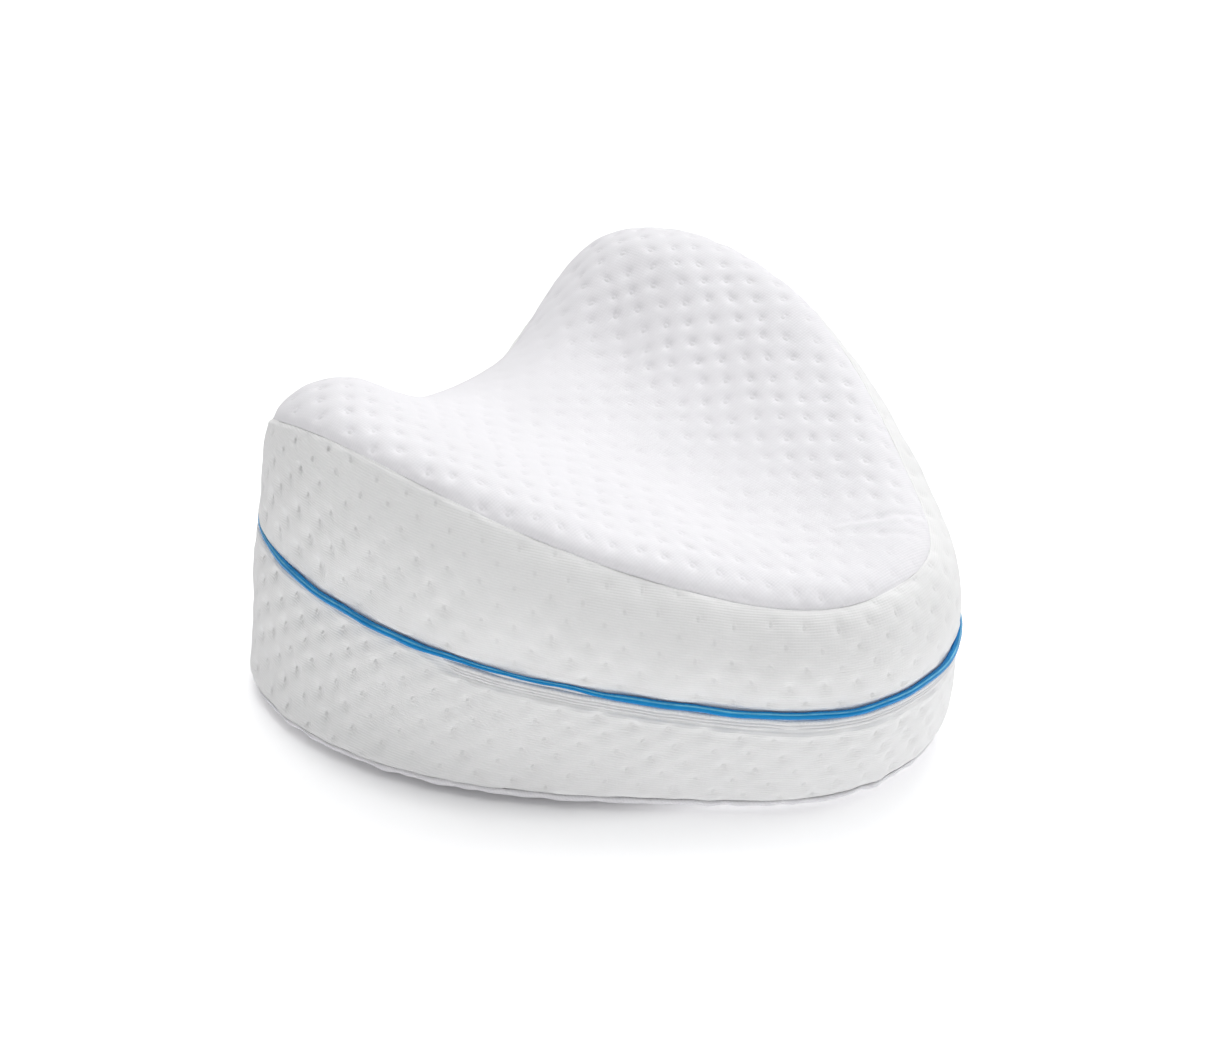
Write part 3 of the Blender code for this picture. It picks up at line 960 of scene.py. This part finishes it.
def pit_shape(tree):
    """1 in the middle of each sewn-in pit and 0 outside it, times how deep the pits are there."""
    along, across = layer_parts(tree, (-1900, -600), "pits")
    tall = node(tree, "ShaderNodeAttribute", (-1900, -800), attribute_name="pit_tall").outputs["Fac"]
    deep = node(tree, "ShaderNodeAttribute", (-1900, -1000), attribute_name="pit_depth").outputs["Fac"]
    wide = maths(tree, "MULTIPLY_ADD", (-1700, -800), tall, 0.2 * PIT_PITCH, PIT_PITCH)
    high = maths(tree, "MULTIPLY_ADD", (-1700, -1000), tall, -0.16 * PIT_ROW, PIT_ROW)
    even_a = maths(tree, "PINGPONG", (-1500, -500), along, 0.5)
    even_b = maths(tree, "PINGPONG", (-1500, -700), across, 1.0)
    odd_a = maths(tree, "SUBTRACT", (-1350, -500), 0.5, even_a)
    odd_b = maths(tree, "SUBTRACT", (-1350, -700), 1.0, even_b)
    spans = []
    for a, b, row in ((even_a, even_b, -400), (odd_a, odd_b, -700)):
        x = maths(tree, "MULTIPLY", (-1200, row), a, wide)
        y = maths(tree, "MULTIPLY", (-1200, row - 150), b, high)
        squares = maths(tree, "MULTIPLY", (-1050, row), x, x)
        total = maths(tree, "MULTIPLY_ADD", (-900, row), y, y, squares)
        spans.append(maths(tree, "SQRT", (-750, row), total))
    nearest = maths(tree, "MINIMUM", (-600, -500), *spans)
    share = node(tree, "ShaderNodeMapRange", (-450, -500), interpolation_type="SMOOTHSTEP")
    share.inputs["From Min"].default_value = PIT_MIDDLE
    share.inputs["From Max"].default_value = PIT_RIM
    share.inputs["To Min"].default_value = 1.0
    share.inputs["To Max"].default_value = 0.0
    tree.links.new(nearest, share.inputs["Value"])
    return maths(tree, "MULTIPLY", (-300, -500), share.outputs["Result"], deep), tall


# Sewn-in pits in the knit: mean pitch and row spacing, the flat middle and the rim, in millimetres.
PIT_PITCH = 13.6
PIT_ROW = 6.6
PIT_MIDDLE = 0.15
PIT_RIM = 1.25
# Painted shade in the pits: how much darker the knit's colour is at a pit's middle.
PIT_PAINTED_SHADE = 0.06
STITCH_PITCH = 1.25
TOP_TINT = (1.0, 0.99, 1.02)


def knit_material(colour, rib_pitch):
    """White double knit: fine ribs, sewn-in pits, a little fuzz and slightly uneven white, with painted shade in the
    pits and along the ribs.
    """
    made = bpy.data.materials.new("dimpled knit")
    made.use_nodes = True
    tree = made.node_tree
    shader = tree.nodes["Principled BSDF"]
    shader.inputs["Roughness"].default_value = 0.9
    shader.inputs["Specular IOR Level"].default_value = 0.2
    shader.inputs["Sheen Weight"].default_value = 0.08
    shader.inputs["Sheen Roughness"].default_value = 0.5
    pit, band = pit_shape(tree)
    along, over = layer_parts(tree, (-1300, 0), "cloth")
    fuzz = noise(tree, (-900, 200), 900.0)
    grain = noise(tree, (-900, 800), 1500.0)
    wander = noise(tree, (-900, 0), 60.0)
    course = maths(tree, "MULTIPLY_ADD", (-700, 0), wander, 0.8, over)
    course = maths(tree, "MULTIPLY", (-550, 0), course, 2.0 * math.pi / rib_pitch)
    rib = maths(tree, "SINE", (-400, 0), course)
    stitch = maths(tree, "MULTIPLY", (-550, -150), along, 2.0 * math.pi / STITCH_PITCH)
    stitch = maths(tree, "SINE", (-400, -150), stitch)
    weave = maths(tree, "MULTIPLY_ADD", (-250, 0), stitch, 0.2, rib)
    weave = maths(tree, "MULTIPLY_ADD", (-100, 0), fuzz, 1.2, weave)
    dent = maths(tree, "MULTIPLY", (-150, -500), pit, -1.0)
    dented = relief(tree, (50, -500), dent, 0.0002)
    links = tree.links
    links.new(relief(tree, (250, -250), weave, 0.00003, dented), shader.inputs["Normal"])
    cool = blend(tree, (-300, 400), band, [part * tint for part, tint in zip(colour, TOP_TINT)], colour)
    patch = noise(tree, (-500, 600), 22.0, 3.0)
    shade = maths(tree, "MULTIPLY_ADD", (-450, 600), patch, 0.05, 0.955)
    shade = maths(tree, "MULTIPLY_ADD", (-300, 600), grain, 0.05, shade)
    # Painted shade along the ribs: the colour turns a little darker and lighter in turn with them.
    shade = maths(tree, "MULTIPLY_ADD", (-150, 600), rib, 0.015, shade)
    # Painted shade: the colour darkens in each pit, where shade falls.
    shade = maths(tree, "MULTIPLY_ADD", (0, 600), pit, -PIT_PAINTED_SHADE, shade)
    dyed = node(tree, "ShaderNodeVectorMath", (150, 400), operation="SCALE")
    links.new(cool, dyed.inputs[0])
    links.new(shade, dyed.inputs["Scale"])
    links.new(dyed.outputs["Vector"], shader.inputs["Base Color"])
    return made


# A highlight painted in a lighter blue along the cord's upper side: its place round the cord in millimetres.
PAINTED_HIGHLIGHT_PLACE = 1.4
PAINTED_HIGHLIGHT_WIDTH = 0.55
PAINTED_HIGHLIGHT_COLOUR = (0.4, 0.9, 1.0)


def piping_material(colour):
    """Smooth woven blue piping with a painted highlight along its upper side and a fine slanting weave."""
    made = bpy.data.materials.new("satin piping")
    made.use_nodes = True
    tree = made.node_tree
    shader = tree.nodes["Principled BSDF"]
    shader.inputs["Roughness"].default_value = 0.2
    shader.inputs["Specular IOR Level"].default_value = 0.9
    shader.inputs["Specular Tint"].default_value = (0.15, 0.8, 1.0, 1.0)
    along, round_it = layer_parts(tree, (-1000, -200), "cloth")
    slant = maths(tree, "ADD", (-700, -200), along, round_it)
    turns = maths(tree, "MULTIPLY", (-550, -200), slant, 2.0 * math.pi / 0.6)
    weave = maths(tree, "SINE", (-400, -200), turns)
    patch = noise(tree, (-700, 200), 120.0)
    dark = [0.85 * part for part in colour]
    light = [1.12 * part for part in colour]
    # Painted highlight: a lighter blue laid over the base colour in a thin line along the cord's upper side.
    aside = maths(tree, "SUBTRACT", (-700, -450), round_it, PAINTED_HIGHLIGHT_PLACE)
    aside = maths(tree, "ABSOLUTE", (-550, -450), aside)
    painted_highlight = maths(tree, "MULTIPLY_ADD", (-400, -450), aside, -1.0 / PAINTED_HIGHLIGHT_WIDTH, 1.0)
    painted_highlight = maths(tree, "MAXIMUM", (-250, -450), painted_highlight, 0.0)
    painted_highlight = maths(tree, "MULTIPLY", (-100, -450), painted_highlight, patch)
    highlighted_blue = node(tree, "ShaderNodeMix", (-100, 200), data_type="RGBA")
    highlighted_blue.inputs["B"].default_value = (*PAINTED_HIGHLIGHT_COLOUR, 1.0)
    tree.links.new(painted_highlight, highlighted_blue.inputs["Factor"])
    tree.links.new(blend(tree, (-300, 200), patch, dark, light), highlighted_blue.inputs["A"])
    tree.links.new(highlighted_blue.outputs["Result"], shader.inputs["Base Color"])
    tree.links.new(relief(tree, (-150, -200), weave, 0.000012), shader.inputs["Normal"])
    return made


def zip_material(colour):
    """Pale woven tape and coil."""
    made = bpy.data.materials.new("zip white")
    made.use_nodes = True
    tree = made.node_tree
    shader = tree.nodes["Principled BSDF"]
    shader.inputs["Roughness"].default_value = 0.6
    patch = noise(tree, (-600, 200), 700.0)
    dark = [0.94 * part for part in colour]
    tree.links.new(blend(tree, (-300, 200), patch, dark, colour), shader.inputs["Base Color"])
    tree.links.new(relief(tree, (-150, -200), patch, 0.00002), shader.inputs["Normal"])
    return made


# Camera: turned from the back-to-tip line, looking down, placed by where the photo shows the middle.
CAMERA_TURN = math.radians(41.216)
CAMERA_DOWN = math.radians(29.367)
CAMERA_LENS = 146.57
CAMERA_OFFSET = (15.53, 52.13, 1884.0)
CAMERA_STATION = 127.38


def camera_axes():
    right = Vector((math.cos(CAMERA_TURN), math.sin(CAMERA_TURN), 0.0))
    down = Vector((
        math.sin(CAMERA_DOWN) * math.sin(CAMERA_TURN),
        -math.sin(CAMERA_DOWN) * math.cos(CAMERA_TURN),
        -math.cos(CAMERA_DOWN),
    ))
    ahead = Vector((
        -math.cos(CAMERA_DOWN) * math.sin(CAMERA_TURN),
        math.cos(CAMERA_DOWN) * math.cos(CAMERA_TURN),
        -math.sin(CAMERA_DOWN),
    ))
    return right, down, ahead


def make_camera():
    right, down, ahead = camera_axes()
    across, below, away = CAMERA_OFFSET
    place = Vector((CAMERA_STATION - MIDDLE, 0.0, 0.0)) - across * right - below * down - away * ahead
    data = bpy.data.cameras.new("camera")
    data.lens = CAMERA_LENS
    data.clip_end = 20.0
    made = bpy.data.objects.new("camera", data)
    turn = Matrix((right, -down, -ahead)).transposed().to_4x4()
    made.matrix_world = Matrix.Translation(place * METRES) @ turn
    bpy.context.scene.collection.objects.link(made)
    bpy.context.scene.camera = made


LIGHT_SPREAD = 50.0
LOW_SPREAD = 36.0

# The floor is given a glow of its own, a painted light that makes it white and also lights the pillow, and the glow is
# left out close under the pillow, which paints a soft shadow there.
PAINTED_SHADOW_CENTRE = (-0.04, -0.01, 0.0)
PAINTED_SHADOW_RADII = (0.105, 0.13)


def sun(name, source, strength, spread):
    """A soft light from a direction, its strength as the share that it adds to a white face turned to it."""
    data = bpy.data.lights.new(name, "SUN")
    data.energy = strength * math.pi
    data.angle = math.radians(spread)
    made = bpy.data.objects.new(name, data)
    made.matrix_world = Vector(source).to_track_quat("Z", "Y").to_matrix().to_4x4()
    bpy.context.scene.collection.objects.link(made)


def make_stage(settings):
    bpy.ops.object.select_all(action="DESELECT")
    bpy.ops.mesh.primitive_plane_add(size=8.0, location=(0.0, 0.0, -0.0001))
    floor = bpy.context.active_object
    floor.name = "floor"
    pale = bpy.data.materials.new("pale floor")
    pale.use_nodes = True
    shader = pale.node_tree.nodes["Principled BSDF"]
    shader.inputs["Base Color"].default_value = (0.93, 0.93, 0.935, 1.0)
    shader.inputs["Roughness"].default_value = 0.9
    shader.inputs["Specular IOR Level"].default_value = 0.1
    # Painted light and painted shadow: the floor's glow rises from none close under the pillow to full further out.
    shader.inputs["Emission Color"].default_value = (1.0, 1.0, 1.0, 1.0)
    spot = node(pale.node_tree, "ShaderNodeTexCoord", (-900, -200))
    reach = node(pale.node_tree, "ShaderNodeVectorMath", (-700, -200), operation="DISTANCE")
    reach.inputs[1].default_value = PAINTED_SHADOW_CENTRE
    pale.node_tree.links.new(spot.outputs["Object"], reach.inputs[0])
    painted_glow = node(pale.node_tree, "ShaderNodeMapRange", (-500, -200), interpolation_type="SMOOTHSTEP")
    painted_glow.inputs["From Min"].default_value = PAINTED_SHADOW_RADII[0]
    painted_glow.inputs["From Max"].default_value = PAINTED_SHADOW_RADII[1]
    painted_glow.inputs["To Min"].default_value = 0.0
    painted_glow.inputs["To Max"].default_value = settings.painted_floor_glow
    pale.node_tree.links.new(reach.outputs["Value"], painted_glow.inputs["Value"])
    pale.node_tree.links.new(painted_glow.outputs["Result"], shader.inputs["Emission Strength"])
    floor.data.materials.append(pale)
    right, down, ahead = camera_axes()
    behind = Vector((ahead.x, ahead.y, 0.0)).normalized()
    up = Vector((0.0, 0.0, 1.0))
    sun("overhead light", up, settings.top_light, LIGHT_SPREAD)
    sun("right light", 0.45 * up + right + 0.4 * behind, settings.right_light, LOW_SPREAD)
    sun("back light", 1.35 * up + behind, settings.back_light, LIGHT_SPREAD)
    sun("front light", 0.35 * up - behind, settings.front_light, LOW_SPREAD)
    world = bpy.data.worlds.new("studio")
    world.use_nodes = True
    world.node_tree.nodes["Background"].inputs["Color"].default_value = (1.0, 1.0, 1.0, 1.0)
    world.node_tree.nodes["Background"].inputs["Strength"].default_value = settings.room_light
    bpy.context.scene.world = world
    bpy.context.scene.view_settings.view_transform = "Standard"
    make_camera()


class PillowClothSettings(bpy.types.PropertyGroup):
    """What a user may change on the knit cover."""

    knit_colour: bpy.props.FloatVectorProperty(
        name="Knit colour", description="Colour of the knit cover", subtype="COLOR", default=(0.88, 0.88, 0.88)
    )
    rib_pitch: bpy.props.FloatProperty(
        name="Rib pitch", description="Distance between the knit's ribs, in millimetres", default=1.0, min=0.3
    )


class PillowTrimSettings(bpy.types.PropertyGroup):
    """What a user may change on the piping and the zip."""

    piping_colour: bpy.props.FloatVectorProperty(
        name="Piping colour", description="Colour of the piping", subtype="COLOR", default=(0.0, 0.2, 0.56)
    )
    zip_colour: bpy.props.FloatVectorProperty(
        name="Zip colour", description="Colour of the zip", subtype="COLOR", default=(0.80, 0.80, 0.81)
    )


class PillowStageSettings(bpy.types.PropertyGroup):
    """What a user may change on the stage."""

    top_light: bpy.props.FloatProperty(name="Top light", description="Light from above", default=0.41, min=0.0)
    right_light: bpy.props.FloatProperty(name="Right light", description="Light from the right", default=0.28, min=0.0)
    back_light: bpy.props.FloatProperty(name="Back light", description="Light from behind", default=0.51, min=0.0)
    front_light: bpy.props.FloatProperty(name="Front light", description="Light from the front", default=0.215, min=0.0)
    room_light: bpy.props.FloatProperty(name="Room light", description="Light from all round", default=0.01, min=0.0)
    # The strength of the floor's painted glow.
    painted_floor_glow: bpy.props.FloatProperty(name="Floor glow", description="Light off the floor", default=0.3, min=0.0)


def knit_of(scene):
    """The knit material, made once and shared by the cover's pieces."""
    found = bpy.data.materials.get("dimpled knit")
    cloth = scene.pillow_cloth
    return found or knit_material(cloth.knit_colour, cloth.rib_pitch)


class PILLOW_OT_stage(bpy.types.Operator):
    """Lay the pale floor and set the lights and the camera"""

    bl_idname = "pillow.stage"
    bl_label = "Stage"

    def execute(self, context):
        make_stage(context.scene.pillow_stage)
        return {"FINISHED"}


class PILLOW_OT_body(bpy.types.Operator):
    """Make the filled body with both side bands"""

    bl_idname = "pillow.body"
    bl_label = "Filled body"

    def execute(self, context):
        make_cushion(knit_of(context.scene))
        return {"FINISHED"}


class PILLOW_OT_panels(bpy.types.Operator):
    """Make the top and bottom cloth panels"""

    bl_idname = "pillow.panels"
    bl_label = "Top and bottom cloth"

    def execute(self, context):
        make_top_panel(knit_of(context.scene))
        make_bottom_panel(knit_of(context.scene))
        return {"FINISHED"}


class PILLOW_OT_piping(bpy.types.Operator):
    """Make the blue piping between the bands"""

    bl_idname = "pillow.piping"
    bl_label = "Piping"

    def execute(self, context):
        make_piping(piping_material(context.scene.pillow_trim.piping_colour))
        return {"FINISHED"}


class PILLOW_OT_zip(bpy.types.Operator):
    """Make the zip line under the piping"""

    bl_idname = "pillow.zip_line"
    bl_label = "Zip line"

    def execute(self, context):
        make_zip(zip_material(context.scene.pillow_trim.zip_colour))
        return {"FINISHED"}


OPERATORS = (PILLOW_OT_stage, PILLOW_OT_body, PILLOW_OT_panels, PILLOW_OT_piping, PILLOW_OT_zip)


class PILLOW_PT_sidebar(bpy.types.Panel):
    """Lists the pillow's settings and pieces"""

    bl_label = "Knee pillow"
    bl_idname = "PILLOW_PT_sidebar"
    bl_space_type = "VIEW_3D"
    bl_region_type = "UI"
    bl_category = "Knee pillow"

    def draw(self, context):
        for group in (context.scene.pillow_cloth, context.scene.pillow_trim, context.scene.pillow_stage):
            for name in group.__annotations__:
                self.layout.prop(group, name)
        for operator in OPERATORS:
            self.layout.operator(operator.bl_idname)


CLASSES = (PillowClothSettings, PillowTrimSettings, PillowStageSettings, *OPERATORS, PILLOW_PT_sidebar)


def register():
    for made in CLASSES:
        bpy.utils.register_class(made)
    bpy.types.Scene.pillow_cloth = bpy.props.PointerProperty(type=PillowClothSettings)
    bpy.types.Scene.pillow_trim = bpy.props.PointerProperty(type=PillowTrimSettings)
    bpy.types.Scene.pillow_stage = bpy.props.PointerProperty(type=PillowStageSettings)


def unregister():
    del bpy.types.Scene.pillow_cloth
    del bpy.types.Scene.pillow_trim
    del bpy.types.Scene.pillow_stage
    for made in reversed(CLASSES):
        bpy.utils.unregister_class(made)


def main():
    register()
    bpy.ops.pillow.stage()
    bpy.ops.pillow.body()
    bpy.ops.pillow.panels()
    bpy.ops.pillow.piping()
    bpy.ops.pillow.zip_line()


if __name__ == "__main__":
    main()
